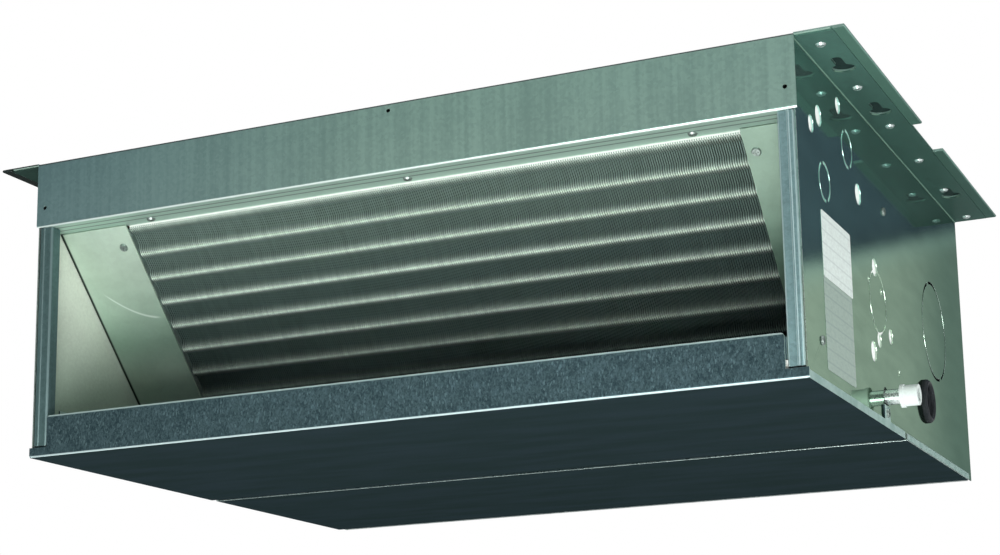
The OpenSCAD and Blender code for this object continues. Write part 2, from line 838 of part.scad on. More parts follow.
// Curved strip of the scroll, drawn about the fan axis
module scroll_strip() {
    a = [for (i = [0:30]) scroll_a0 + i*(scroll_a1 - scroll_a0)/30];
    outer = [for (t = a) polar(scroll_at(t) + sheet, t)];
    inner = [for (i = [30:-1:0]) polar(scroll_at(a[i]), a[i])];
    polygon(concat(outer, inner));
    o = outlet_y - fan_y;
    translate([o, outlet_top]) square([-o + 0.1, sheet]);
    translate([o, outlet_low - sheet]) square([-o + scroll_r0*cos(scroll_a0), sheet]);
    translate([scroll_r0*cos(scroll_a0), outlet_low - 0.4]) circle(1.6);
}

module scroll_side() {
    a = [for (i = [0:30]) scroll_a0 + i*(scroll_a1 - scroll_a0)/30];
    o = outlet_y - fan_y;
    difference() {
        polygon(concat([for (t = a) polar(scroll_at(t) + sheet, t)],
            [[o, outlet_top + sheet], [o, outlet_low - sheet]]));
        circle(inlet_r + 1.5);
    }
}

module fan_housing(x) {
    on_fan(x) {
        linear_extrude(scroll_w + 0.2, center = true) scroll_strip();
        for (m = [0, 1]) {
            mirror([0, 0, m]) translate([0, 0, scroll_w/2]) linear_extrude(sheet) scroll_side();
        }
    }
    translate([x, outlet_y + sheet/2, fan_z]) along_y(sheet) difference() {
        translate([-scroll_w/2 - 11, outlet_low - 11]) square([scroll_w + 22, outlet_top - outlet_low + 22]);
        translate([-scroll_w/2, outlet_low]) square([scroll_w, outlet_top - outlet_low]);
    }
}

module left_fan_housing() color(steel) {
    fan_housing(-blower_x);
}

module right_fan_housing() color(steel) {
    fan_housing(blower_x);
}

module inlet_rings(x) {
    on_fan(x) for (m = [0, 1]) {
        mirror([0, 0, m]) translate([0, 0, scroll_w/2 + sheet + 0.1]) rotate_extrude() {
            translate([inlet_r, 0]) square([14, sheet]);
            translate([inlet_r, -6]) square([sheet, 6.1]);
            translate([inlet_r + 14, sheet]) circle(sheet);
        }
    }
}

module left_inlet_rings() color(steel) {
    inlet_rings(-blower_x);
}

module right_inlet_rings() color(steel) {
    inlet_rings(blower_x);
}

// One forward-curved blade, as an arc that cups towards the turning side
module blade() {
    intersection() {
        translate([eye_r + 4, 9]) ring(8.1, 9);
        ring(eye_r + 0.3, wheel_r - 0.3);
        translate([eye_r - 3, -1]) square([20, 7.2]);
    }
}

module impeller(x) {
    on_fan(x) difference() {
        union() {
            translate([0, 0, -wheel_l/2 + 2]) linear_extrude(wheel_l - 4) for (i = [0:blade_n - 1]) {
                rotate(i*360/blade_n) blade();
            }
            for (z = [-wheel_l/2, wheel_l/2 - 5]) {
                translate([0, 0, z]) linear_extrude(5) ring(eye_r, wheel_r);
            }
            translate([0, 0, -1.5]) cylinder(3, wheel_r, wheel_r);
            translate([0, 0, -15]) cylinder(30, hub_r, hub_r);
        }
        translate([0, 0, -20]) cylinder(40, shaft_r + 0.02, shaft_r + 0.02);
        translate([0, 0, 9]) rotate([0, 90, 0]) cylinder(hub_r + 2, 2.6, 2.6);
    }
}

module left_impeller() color(steel) {
    impeller(-blower_x);
}

module right_impeller() color(steel) {
    impeller(blower_x);
}

module hub_screws() color(dark_steel) {
    for (x = [-blower_x, blower_x]) {
        on_fan(x) translate([shaft_r + 0.05, 0, 9]) rotate([0, 90, 0]) difference() {
            cylinder(hub_r - shaft_r + 1, 2.5, 2.5);
            translate([0, 0, hub_r - shaft_r - 2]) cylinder(4, 1.5, 1.5, $fn = 6);
        }
    }
}

module motor_shaft() color(steel) {
    on_fan(0) {
        cylinder(2*blower_x + 50, shaft_r, shaft_r, center = true);
        cylinder(motor_l - 40, shaft_r + 6, shaft_r + 6, center = true);
    }
}

module motor_body() color(dark_steel) {
    l = motor_l/2;
    on_fan(0) difference() {
        union() {
            cylinder(motor_l - 16, motor_r, motor_r, center = true);
            for (m = [0, 1]) {
                mirror([0, 0, m]) {
                    translate([0, 0, l - 8.1]) cylinder(8.1, motor_r, motor_r - 8);
                    translate([0, 0, l - 0.1]) cylinder(hub_l, 20, 20);
                    translate([0, 0, l - 26]) linear_extrude(4) ring(motor_r - 1, motor_r + 2.5);
                }
            }
        }
        cylinder(motor_l + 60, shaft_r + 1, shaft_r + 1, center = true);
        cylinder(motor_l - 34, shaft_r + 7, shaft_r + 7, center = true);
        for (m = [0, 1]) {
            mirror([0, 0, m]) translate([0, 0, l + 2]) cylinder(20, bearing_r, bearing_r);
        }
    }
}

module motor_bearings() color(steel) {
    on_fan(0) for (m = [0, 1]) {
        mirror([0, 0, m]) translate([0, 0, motor_l/2 + 2.05]) linear_extrude(10)
            ring(shaft_r + run_fit, bearing_r - 0.03);
    }
}

module motor_rings() color(rubber) {
    on_fan(0) for (m = [0, 1]) {
        mirror([0, 0, m]) translate([0, 0, motor_l/2 + 2]) linear_extrude(9) ring(20.1, ring_r);
    }
}

module motor_cradle() color(steel) {
    z1 = fan_z - 1;
    y0 = board_y + sheet + 0.1;
    x0 = motor_l/2 + 3;
    translate([-x0 - 14, y0, cradle_z]) cube([2*x0 + 28, fan_y + yoke_y - y0, 3]);
    translate([-x0 - 14, y0, cradle_z]) cube([2*x0 + 28, 3, 34]);
    for (m = [0, 1]) {
        mirror([m, 0, 0]) difference() {
            translate([x0, fan_y - yoke_y, cradle_z]) cube([7, 2*yoke_y, z1 - cradle_z]);
            bar_x(x0 - 1, x0 + 8, fan_y, fan_z, ring_r + 0.1);
        }
    }
}

module cradle_straps() color(steel) {
    for (m = [0, 1]) {
        mirror([m, 0, 0]) translate([motor_l/2 + 3, fan_y, fan_z]) rotate([90, 0, 90]) linear_extrude(7) {
            difference() {
                circle(ring_r + 2.4);
                circle(ring_r + 0.1);
                translate([-50, -100]) square([100, 99.2]);
            }
            for (k = [0, 1]) {
                mirror([k, 0]) translate([ring_r + 1, -0.8]) square([yoke_y - ring_r - 1, 2.4]);
            }
        }
    }
}

module capacitor() color(white) {
    bar_x(-34, 34, board_y + sheet + 19, fan_z + 104, 16);
    bar_x(33, 38, board_y + sheet + 19, fan_z + 104, 12);
}

module capacitor_clip() color(steel) {
    y = board_y + sheet + 19;
    z = fan_z + 104;
    translate([0, y, z]) rotate([90, 0, 90]) linear_extrude(16, center = true) {
        difference() {
            ring(16.1, 17.6);
            translate([6, -40]) square([40, 80]);
        }
        translate([-18.9, -26]) square([1.6, 52]);
        translate([-18.9, -4]) square([2.6, 8]);
    }
}

module terminal_box() color(steel) {
    x0 = rail_x - box_d;
    y0 = grommet_y - box_y/2;
    difference() {
        translate([x0, y0, box_z0]) cube([box_d, box_y, box_h]);
        translate([x0 - 1, y0 + sheet, box_z0 + sheet])
            cube([box_d + 1 - sheet, box_y - 2*sheet, box_h - 2*sheet]);
        bar_x(rail_x - 5, rail_x + 5, grommet_y, grommet_z, grommet_r + 0.1);
    }
}

module terminal_cover() color(steel) {
    x0 = rail_x - box_d - 0.1;
    y0 = grommet_y - box_y/2;
    translate([x0 - sheet, y0 - 1, box_z0 - 1]) cube([sheet, box_y + 2, box_h + 2]);
    for (z = [box_z0 - 1, box_z0 + box_h + lap]) {
        translate([x0 - sheet, y0 - 1, z]) cube([10, box_y + 2, 0.7]);
    }
}

module terminal_block() color(white) {
    x0 = rail_x - box_d + 3;
    y0 = grommet_y - 36;
    difference() {
        translate([x0, y0, box_z0 + sheet + 0.1]) cube([13, 72, 20]);
        for (i = [0:5]) {
            translate([x0 + 6.5, y0 + 6 + 12*i, box_z0 + 12]) cylinder(20, 2.4, 2.4);
            bar_x(x0 - 1, x0 + 8, y0 + 6 + 12*i, box_z0 + 9, 2.2);
        }
    }
}

// Channel that holds one edge of the filter, for the right side
module filter_rail() {
    x = rail_x - fold_r - rail_leg;
    y = frame_y + sheet + lap;
    translate([0, 0, 4]) linear_extrude(case_h - 12) translate([x, y])
        fold([rail_leg, back_y - y - 2*fold_r, rail_leg], [1, 1]);
}

module filter_rail_left() color(steel) {
    mirror([1, 0, 0]) filter_rail();
}

module filter_rail_right() color(steel) {
    filter_rail();
}

module filter_frame() color(steel) {
    h = filter_z1 - filter_z0;
    bay_w = (2*filter_x - 4*filter_bar)/3;
    difference() {
        translate([-filter_x, filter_y, filter_z0]) cube([2*filter_x, filter_t, h]);
        for (i = [0:2]) {
            translate([-filter_x + filter_bar + i*(bay_w + filter_bar), filter_y - 1, filter_z0 + filter_bar])
                cube([bay_w, filter_t + 2, h - 2*filter_bar]);
        }
        translate([-filter_x + filter_bar - 5, filter_y + filter_t/2 - 2.2, filter_z0 + filter_bar - 5])
            cube([2*(filter_x - filter_bar + 5), 4.4, h - 2*filter_bar + 10]);
    }
}

module filter_media() color(dark_steel) {
    translate([-filter_x + filter_bar - 4.9, filter_y + filter_t/2 - 2, filter_z0 + filter_bar - 4.9])
        cube([2*(filter_x - filter_bar + 4.9), 4, filter_z1 - filter_z0 - 2*filter_bar + 9.8]);
}

top_panel();
right_side_panel();
left_side_panel();
right_hanger_flange();
left_hanger_flange();
right_front_post();
left_front_post();
front_bottom_panel();
rear_bottom_panel();
back_frame();
flange_rivets();
case_screws();
top_lining();
right_lining();
left_lining();
drain_tray();
tray_insulation();
drain_stub();
drain_collar();
cable_grommet();
coil_fins();
coil_tubes();
return_bends();
coil_end_left();
coil_end_right();
coil_pads();
coil_seal();
blank_off_left();
blank_off_right();
coil_screws();
supply_header();
return_header();
supply_socket();
return_socket();
air_vent();
air_vent_screw();
fan_board();
left_fan_housing();
right_fan_housing();
left_inlet_rings();
right_inlet_rings();
left_impeller();
right_impeller();
hub_screws();
motor_shaft();
motor_body();
motor_bearings();
motor_rings();
motor_cradle();
cradle_straps();
capacitor();
capacitor_clip();
terminal_box();
terminal_cover();
terminal_block();
filter_rail_left();
filter_rail_right();
filter_frame();
filter_media();
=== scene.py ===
import json
import math

import bpy
from mathutils import Matrix, Vector


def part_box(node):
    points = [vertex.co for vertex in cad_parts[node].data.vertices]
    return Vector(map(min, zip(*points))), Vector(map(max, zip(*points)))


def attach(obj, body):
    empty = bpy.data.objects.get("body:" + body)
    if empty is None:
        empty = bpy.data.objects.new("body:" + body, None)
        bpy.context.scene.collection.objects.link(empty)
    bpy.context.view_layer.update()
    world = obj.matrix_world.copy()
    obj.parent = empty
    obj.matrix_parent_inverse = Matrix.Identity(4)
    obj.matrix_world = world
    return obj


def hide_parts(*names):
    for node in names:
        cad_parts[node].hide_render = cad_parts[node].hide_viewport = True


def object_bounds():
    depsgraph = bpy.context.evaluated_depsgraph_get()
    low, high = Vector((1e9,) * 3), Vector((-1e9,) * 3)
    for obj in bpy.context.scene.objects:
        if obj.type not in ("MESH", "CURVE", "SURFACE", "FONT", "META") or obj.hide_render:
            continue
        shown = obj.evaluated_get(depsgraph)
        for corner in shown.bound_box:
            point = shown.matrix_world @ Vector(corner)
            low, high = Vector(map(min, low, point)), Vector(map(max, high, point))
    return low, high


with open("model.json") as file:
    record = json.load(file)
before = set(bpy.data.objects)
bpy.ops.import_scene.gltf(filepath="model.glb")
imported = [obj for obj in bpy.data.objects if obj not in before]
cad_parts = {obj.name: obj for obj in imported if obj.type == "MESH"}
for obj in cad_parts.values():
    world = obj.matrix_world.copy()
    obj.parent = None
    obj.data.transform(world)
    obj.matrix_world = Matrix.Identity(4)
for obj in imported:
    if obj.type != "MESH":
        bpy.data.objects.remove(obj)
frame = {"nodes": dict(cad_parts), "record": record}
cad_box = [list(v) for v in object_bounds()]
nodes = frame["nodes"]
mounts = {m["name"]: m for m in frame["record"]["mounts"]}
scene = bpy.context.scene
scene.view_settings.view_transform = "Standard"

# Places in the shared frame, in metres
FRONT_Y = cad_box[0][1]
TOP_Z = cad_box[1][2]
WALL_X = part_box("right_side_panel")[1][0]
FLANGE_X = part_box("right_hanger_flange")[1][0]
HEADER_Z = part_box("top_panel")[0][2]
LIP_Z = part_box("front_bottom_panel")[1][2]
BLANK_X = -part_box("blank_off_left")[0][0]


# Node helpers

class Tree:
    """A node tree with short calls. A value is a number, a colour or another node's socket."""

    def __init__(self, tree):
        self.tree = tree

    def put(self, socket, value):
        if isinstance(value, bpy.types.NodeSocket):
            self.tree.links.new(value, socket)
        else:
            socket.default_value = value

    def node(self, kind, **inputs):
        n = self.tree.nodes.new(kind)
        for key, value in inputs.items():
            self.put(n.inputs[key], value)
        return n

    def split(self, vector):
        return self.node("ShaderNodeSeparateXYZ", Vector=vector).outputs

    def math(self, op, *args):
        n = self.tree.nodes.new("ShaderNodeMath")
        n.operation = op
        for i, a in enumerate(args):
            self.put(n.inputs[i], a)
        return n.outputs[0]

    def mul(self, a, b):
        return self.math("MULTIPLY", a, b)

    def sub(self, a, b):
        return self.math("SUBTRACT", a, b)

    def abs(self, a):
        return self.math("ABSOLUTE", a)

    def weigh(self, *parts):
        """Sum of values, each with its weight."""
        total = 0.0
        for value, weight in parts:
            total = self.math("MULTIPLY_ADD", value, weight, total)
        return total

    def ramp(self, value, a, b, lo=0.0, hi=1.0, smooth=True):
        """From lo to hi as the value goes from a to b."""
        n = self.node("ShaderNodeMapRange", Value=value)
        n.interpolation_type = "SMOOTHSTEP" if smooth else "LINEAR"
        for key, v in (("From Min", a), ("From Max", b), ("To Min", lo), ("To Max", hi)):
            n.inputs[key].default_value = v
        return n.outputs["Result"]

    def mix(self, fac, a, b, how="MIX"):
        n = self.tree.nodes.new("ShaderNodeMix")
        n.data_type = "RGBA"
        n.blend_type = how
        self.put(n.inputs[0], fac)
        for socket, v in ((n.inputs[6], a), (n.inputs[7], b)):
            self.put(socket, (*v, 1.0) if isinstance(v, tuple) else v)
        return n.outputs[2]


class Shader(Tree):
    """A Principled material: x, y, z are places in the shared frame, nx, ny, nz the way that a face looks."""

    def __init__(self, name, metallic, rough, edge_tint=(0.3, 0.36, 0.34), gloss=0.3):
        self.mat = bpy.data.materials.new(name)
        self.mat.use_nodes = True
        super().__init__(self.mat.node_tree)
        self.out = self.tree.nodes["Principled BSDF"].inputs
        self.out["Metallic"].default_value = metallic
        self.out["Roughness"].default_value = rough
        self.out["Specular Tint"].default_value = (*edge_tint, 1.0)
        self.out["Specular IOR Level"].default_value = gloss
        self.pos = self.node("ShaderNodeTexCoord").outputs["Object"]
        self.x, self.y, self.z = self.split(self.pos)
        self.nx, self.ny, self.nz = self.split(self.node("ShaderNodeNewGeometry").outputs["Normal"])

    def scaled(self, *scale):
        m = self.node("ShaderNodeMapping", Vector=self.pos)
        m.inputs["Scale"].default_value = scale
        return m.outputs["Vector"]

    def noise(self, scale, detail=3.0):
        """Cloudy pattern; a scale of three numbers stretches it."""
        vector, scale = (self.scaled(*scale), 1.0) if isinstance(scale, tuple) else (self.pos, scale)
        return self.node("ShaderNodeTexNoise", Vector=vector, Scale=scale, Detail=detail).outputs["Fac"]

    def cells(self, scale):
        """Cells of random brightness; a scale of three numbers stretches them."""
        vector, scale = (self.scaled(*scale), 1.0) if isinstance(scale, tuple) else (self.pos, scale)
        n = self.node("ShaderNodeTexVoronoi", Vector=vector, Scale=scale)
        return self.node("ShaderNodeSeparateColor", Color=n.outputs["Color"]).outputs[0]

    def tint(self, col, factors):
        return self.mix(1.0, col, factors, "MULTIPLY")

    def vary(self, pattern, a, b):
        """From one colour to the other over the middle of a pattern's range."""
        return self.mix(self.ramp(pattern, 0.3, 0.7), a, b)

    def dapple(self, pattern, col, dark, bright):
        return self.vary(pattern, self.tint(col, dark), self.tint(col, bright))

    def colour(self, value):
        self.put(self.out["Base Color"], value)

    def roughness(self, pattern, a, b, lo, hi):
        self.put(self.out["Roughness"], self.ramp(pattern, a, b, lo, hi, smooth=False))

    def bump(self, height, strength, distance):
        b = self.node("ShaderNodeBump", Height=height, Strength=strength, Distance=distance)
        self.put(self.out["Normal"], b.outputs["Normal"])


def grey(k):
    return (k, k, k)


def shade(colour, k):
    return tuple(min(1.0, v * k) for v in colour)


def spangle(s, tone, spread, cell, streak=None):
    """Zinc flowers: cells of uneven tone with soft blotches, and streaks along one axis if asked."""
    flakes = s.weigh((s.cells(1 / cell), 0.6), (s.cells(2.3 / cell), 0.4))
    pattern = s.weigh((flakes, 0.62), (s.noise(22.0), 0.38))
    if streak:
        pattern = s.weigh((pattern, 0.5), (s.noise(streak, 4.0), 0.5))
    pattern = s.ramp(pattern, 0.2, 0.8)
    return s.mix(pattern, shade(tone, 1 - spread), shade(tone, 1 + spread)), pattern


# Materials

def plain_metal(name, tone, spread, rough, cell):
    s = Shader(name, 0.85, rough)
    col, pattern = spangle(s, tone, spread, cell)
    s.colour(col)
    s.roughness(pattern, 0.0, 1.0, rough - 0.07, rough + 0.07)
    s.bump(s.noise(900.0, 2.0), 0.05, 0.0002)
    return s.mat


# Two painted shadow lines, as of grooves, along the header's return, at this distance on both sides of their
# middle
GROOVE_Y, GROOVE_OFF = FRONT_Y + 0.013, 0.0045


def header_material():
    """Top sheet: the header in front, its return below with painted groove shadows, and the hems outside the
    flanges; light and shade are painted into all three.
    """
    s = Shader("galvanised_header", 0.6, 0.42)
    # Painted light across the front: darker and bluer to the left, lighter to the right. It is also a touch
    # darker towards its top.
    front = s.mix(s.ramp(s.x, -0.38, 0.06), (0.155, 0.255, 0.258), (0.232, 0.360, 0.310))
    front = s.mix(s.ramp(s.z, HEADER_Z + 0.007, TOP_Z - 0.006), front, s.tint(front, (0.94, 0.97, 0.97)))
    streaks = s.noise((240.0, 20.0, 5.0), 4.0)
    smears = s.noise((11.0, 11.0, 9.0), 2.0)
    grain = s.weigh((streaks, 0.5), (s.cells(420.0), 0.15), (smears, 0.35))
    front = s.dapple(grain, front, (0.86, 0.87, 0.88), (1.13, 1.11, 1.10))
    # Painted shade on the bend along the header's top edge
    top_bend_shade = s.mul(s.ramp(s.nz, 0.1, 0.4), s.ramp(s.nz, 0.98, 0.9))
    front = s.mix(top_bend_shade, front, (0.050, 0.062, 0.060))
    left_edge = s.ramp(s.x, -WALL_X - 0.002, -WALL_X - 0.003)
    front = s.mix(left_edge, front, (0.034, 0.048, 0.044))

    # Painted shadow lines, as of two grooves, across the return
    groove_shadow = s.abs(s.sub(s.abs(s.sub(s.y, GROOVE_Y)), GROOVE_OFF))
    under = s.mix(s.ramp(groove_shadow, 0.0006, 0.0014), (0.230, 0.330, 0.285), (0.53, 0.72, 0.62))
    # Painted shade: the left hem almost black, the right one darker towards the back
    hem_right = s.mix(s.ramp(s.y, -0.25, 0.2, smooth=False), (0.120, 0.240, 0.190), (0.072, 0.146, 0.120))
    hem = s.mix(s.ramp(s.x, -0.01, 0.01), (0.010, 0.018, 0.015), hem_right)
    under = s.mix(s.ramp(s.abs(s.x), FLANGE_X - 0.0022, FLANGE_X - 0.0012), under, hem)

    col = s.mix(s.ramp(s.nz, -0.8, -0.98), front, under)
    # Painted highlight along the bend under the header
    fold_highlight = s.mul(s.ramp(s.ny, -0.2, -0.55), s.ramp(s.nz, -0.3, -0.6))
    s.colour(s.mix(fold_highlight, col, (0.80, 0.92, 0.87)))
    s.roughness(grain, 0.2, 0.8, 0.36, 0.5)
    s.bump(s.noise(700.0, 2.0), 0.05, 0.0002)
    return s.mat


# Border of the painted reflection tone in a wall's upper front corner: its rise per metre of depth, and its
# two heights at y = 0
CORNER_RISE, CORNER_LOW, CORNER_HIGH = 0.30, 0.140, 0.204


def side_material(name, front, back, upper, rough):
    """Rolled sheet with painted reflection: a front tone fading to a back tone low down, and another tone in
    its upper front corner.
    """
    s = Shader(name, 1.0, rough)
    # Painted reflection: the sheet darkens from front to back, and its upper front corner takes a tone of its
    # own
    corner = s.ramp(s.sub(s.z, s.mul(s.y, CORNER_RISE)), CORNER_LOW, CORNER_HIGH)
    s.put(s.out["Metallic"], s.ramp(corner, 0.0, 1.0, 1.0, 0.94, smooth=False))
    wall = s.mix(s.ramp(s.y, 0.0, 0.26), front, back)
    wall = s.mix(corner, wall, upper)
    blotch = s.noise((20.0, 14.0, 55.0))
    s.colour(s.dapple(blotch, wall, grey(0.93), grey(1.06)))
    s.roughness(blotch, 0.2, 0.8, rough - 0.02, rough + 0.02)
    s.bump(s.noise(7.0, 2.0), 0.03, 0.002)
    return s.mat


def folded_material(name, tone, metallic, streak, bend_highlight, gloss=0.1, lead=None):
    """Folded strip: spangle, lighter by lead at its front end, with a painted highlight along its bends."""
    s = Shader(name, metallic, 0.4, gloss=gloss)
    col, pattern = spangle(s, tone, 0.2, 0.003, streak)
    if lead:
        col = s.mix(s.ramp(s.y, -0.28, -0.06), s.tint(col, grey(lead)), col)
    # Painted highlight along the bends
    across = s.math("MAXIMUM", s.ramp(s.ny, -0.2, -0.5), s.ramp(s.nz, -0.2, -0.5))
    fold_highlight = s.mul(across, s.ramp(s.abs(s.nx), 0.2, 0.5))
    s.colour(s.mix(fold_highlight, col, bend_highlight))
    s.roughness(pattern, 0.0, 1.0, 0.34, 0.5)
    s.bump(s.noise(600.0, 2.0), 0.05, 0.0002)
    return s.mat


def bottom_material():
    """Bottom panels: flaky lip with a painted highlight along its rim, underside painted almost black as in
    shade, pale edges and a painted highlight along the fold.
    """
    s = Shader("spangled_bottom", 0.4, 0.5, (0.03, 0.05, 0.055), 0.0)
    below = s.ramp(s.nz, -0.5, -0.95)
    s.put(s.out["Metallic"], s.ramp(below, 0.0, 1.0, 0.4, 0.0, smooth=False))
    flakes = s.weigh((s.cells((640.0, 500.0, 330.0)), 0.45), (s.cells((1400.0, 1100.0, 800.0)), 0.55))
    grain = s.weigh((flakes, 0.6), (s.noise(60.0, 4.0), 0.4))
    lip = s.mix(s.ramp(grain, 0.2, 0.85, smooth=False), (0.0183, 0.0365, 0.0430), (0.0680, 0.1125, 0.1220))
    speck = s.ramp(s.cells((980.0, 980.0, 420.0)), 0.88, 0.98)
    lip = s.mix(s.mul(speck, 0.4), lip, (0.145, 0.225, 0.232))
    # Painted highlight along the lip's top edge
    rim_highlight = s.mul(s.ramp(s.z, LIP_Z - 0.0016, LIP_Z - 0.0009), s.ramp(s.y, FRONT_Y + 0.0025, FRONT_Y + 0.0015))
    lip = s.mix(rim_highlight, lip, (0.30, 0.40, 0.38))
    # Underside painted almost black, as in shade
    under = s.vary(s.noise((9.0, 40.0, 9.0)), (0.0135, 0.0240, 0.0250), (0.0167, 0.0278, 0.0322))
    side = s.vary(s.noise(90.0), (0.32, 0.46, 0.42), (0.42, 0.56, 0.52))
    col = s.mix(s.ramp(s.abs(s.nx), 0.5, 0.9), s.mix(below, lip, under), side)
    # Painted highlight along the fold
    fold_highlight = s.mul(s.ramp(s.ny, -0.25, -0.6), s.ramp(s.nz, -0.25, -0.6))
    s.colour(s.mix(fold_highlight, col, (0.44, 0.55, 0.55)))
    s.roughness(grain, 0.2, 0.8, 0.34, 0.52)
    s.bump(flakes, 0.05, 0.0003)
    return s.mat


# Middle of the long scratch on the left blank-off plate, and the numbers of its curve
SCRATCH_X, SCRATCH_Z = -0.303, 0.1440
SCRATCH_SLOPE, SCRATCH_BOW = 0.46, 8.0


def blank_material():
    """Blank-off plates: the right one painted darker as in shade, painted shade across the middle height, a
    scratch, and a painted shadow line at the joint with the lining.
    """
    s = Shader("pale_galvanised_plate", 0.55, 0.42)
    col, pattern = spangle(s, (0.505, 0.635, 0.525), 0.06, 0.006, (12.0, 90.0, 90.0))
    # Painted shade: the right plate darker than the left
    col = s.mix(s.ramp(s.x, -0.2, 0.3), col, s.tint(col, (0.49, 0.55, 0.53)))
    # Painted shade across the middle height
    painted_shade = s.mul(s.ramp(s.z, 0.075, 0.125), s.ramp(s.z, 0.19, 0.11))
    col = s.mix(painted_shade, col, s.tint(col, (0.47, 0.57, 0.53)))
    col = s.dapple(s.noise(14.0, 2.0), col, grey(0.93), grey(1.08))
    along = s.sub(s.x, SCRATCH_X)
    curve = s.sub(s.mul(along, SCRATCH_SLOPE), s.mul(s.mul(along, along), SCRATCH_BOW))
    off = s.abs(s.sub(s.sub(SCRATCH_Z, s.z), curve))
    mark = s.mul(s.ramp(off, 0.0012, 0.0003), s.ramp(s.abs(along), 0.026, 0.018))
    col = s.mix(s.mul(mark, 0.55), col, (0.80, 0.90, 0.84))
    # Painted shadow line in the gap where the plate meets the lining
    joint_shadow = s.ramp(s.abs(s.x), BLANK_X - 0.0032, BLANK_X - 0.0017)
    s.colour(s.mix(joint_shadow, col, (0.035, 0.050, 0.042)))
    s.roughness(pattern, 0.0, 1.0, 0.36, 0.5)
    s.bump(s.noise(30.0, 2.0), 0.05, 0.001)
    return s.mat


def foam_material(name, tone, shade_tint=None):
    """Foam sheet; with a tint, its inner face is painted darker towards the foot as in shade and its outer
    face takes a lighter fixed tone.
    """
    s = Shader(name, 0.0, 0.75)
    grain = s.noise(420.0, 4.0)
    mottle = s.weigh((grain, 0.5), (s.noise(18.0, 2.0), 0.5))
    col = s.mix(s.ramp(mottle, 0.35, 0.65), shade(tone, 0.92), shade(tone, 1.05))
    if shade_tint:
        # Painted shade: the inner face darker towards the foot
        painted_shade = s.mix(s.ramp(s.z, 0.04, 0.18), s.tint(col, shade_tint), col)
        outwards = s.mul(s.nx, s.ramp(s.x, -0.1, 0.1, -1.0, 1.0))
        col = s.mix(s.ramp(outwards, -0.5, 0.5), painted_shade, (0.88, 0.92, 0.88))
    s.colour(col)
    s.roughness(grain, 0.3, 0.7, 0.68, 0.84)
    s.bump(grain, 0.12, 0.0004)
    return s.mat


def rubber_material():
    s = Shader("black_rubber", 0.0, 0.5)
    grain = s.noise(600.0)
    s.colour(s.vary(grain, (0.010, 0.012, 0.014), (0.026, 0.029, 0.032)))
    s.roughness(grain, 0.3, 0.7, 0.42, 0.6)
    s.bump(grain, 0.1, 0.0003)
    return s.mat


def plastic_material(name, tone, rough):
    s = Shader(name, 0.0, rough)
    grain = s.noise(500.0)
    s.colour(s.vary(grain, shade(tone, 0.95), shade(tone, 1.03)))
    s.roughness(grain, 0.3, 0.7, rough - 0.05, rough + 0.06)
    s.bump(grain, 0.06, 0.0003)
    return s.mat


def paint_material():
    s = Shader("motor_enamel", 0.1, 0.4)
    peel = s.noise(260.0, 2.0)
    s.colour(s.vary(peel, (0.020, 0.023, 0.027), (0.034, 0.038, 0.043)))
    s.roughness(peel, 0.3, 0.7, 0.34, 0.48)
    s.bump(peel, 0.1, 0.0004)
    return s.mat


# Radians of the weave's sine per metre: a thread about every 2 mm
WEAVE_RATE = 1600.0


def weave_material():
    s = Shader("filter_weave", 0.0, 0.8)
    u, v = (s.abs(s.math("SINE", s.mul(way, WEAVE_RATE))) for way in (s.x, s.z))
    thread = s.math("MAXIMUM", u, v)
    s.colour(s.mix(s.ramp(thread, 0.6, 0.98), (0.018, 0.022, 0.021), (0.11, 0.125, 0.12)))
    s.roughness(thread, 0.6, 0.98, 0.9, 0.7)
    s.bump(thread, 0.4, 0.0005)
    return s.mat


LABEL_ROW = 0.0105


def label_material(name, tone, rule):
    """Smudged paper with faint ruled lines."""
    s = Shader(name, 0.0, 0.5)
    paper = s.noise(300.0)
    grime = s.weigh((paper, 0.4), (s.noise((160.0, 160.0, 420.0), 4.0), 0.6))
    col = s.mix(s.ramp(grime, 0.35, 0.65), shade(tone, 0.90), shade(tone, 1.06))
    rows = s.math("SINE", s.mul(s.z, 2 * math.pi / LABEL_ROW))
    s.colour(s.mix(s.ramp(rows, 0.86, 0.95, 0.0, 0.55), col, rule))
    s.roughness(paper, 0.3, 0.7, 0.44, 0.56)
    s.bump(paper, 0.05, 0.0002)
    return s.mat


# Coil plane, as in the part's source, in millimetres: s down the slope, n through the thickness
COIL_Y, COIL_Z, TILT = -253.0, 204.5, math.radians(43.34783)
COIL_L, COIL_T, COIL_S0 = 250.0, 64.952, -2.0
FIN_X0, FIN_X1 = (1000 * corner[0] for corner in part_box("coil_fins"))
FIN_COUNT, FIN_T = 286, 0.9
# Ridges across the fins' edges: first crest, pitch, depth, radius, and the painted highlight line's drop
# below a crest
RIDGE_0, RIDGE, RIPPLE, RIPPLE_R, SHINE = -0.5, 25.4, 3.2, 9.0, 1.0
# Number of crests, points drawn on each side of one, and the distance between these points
RIDGE_COUNT, RIDGE_STEPS, RIDGE_STEP = 10, 3, 2.3


def from_coil(s, n, x):
    y = COIL_Y + s * math.sin(TILT) + n * math.cos(TILT)
    z = COIL_Z - s * math.cos(TILT) + n * math.sin(TILT)
    return (x / 1000, y / 1000, z / 1000)


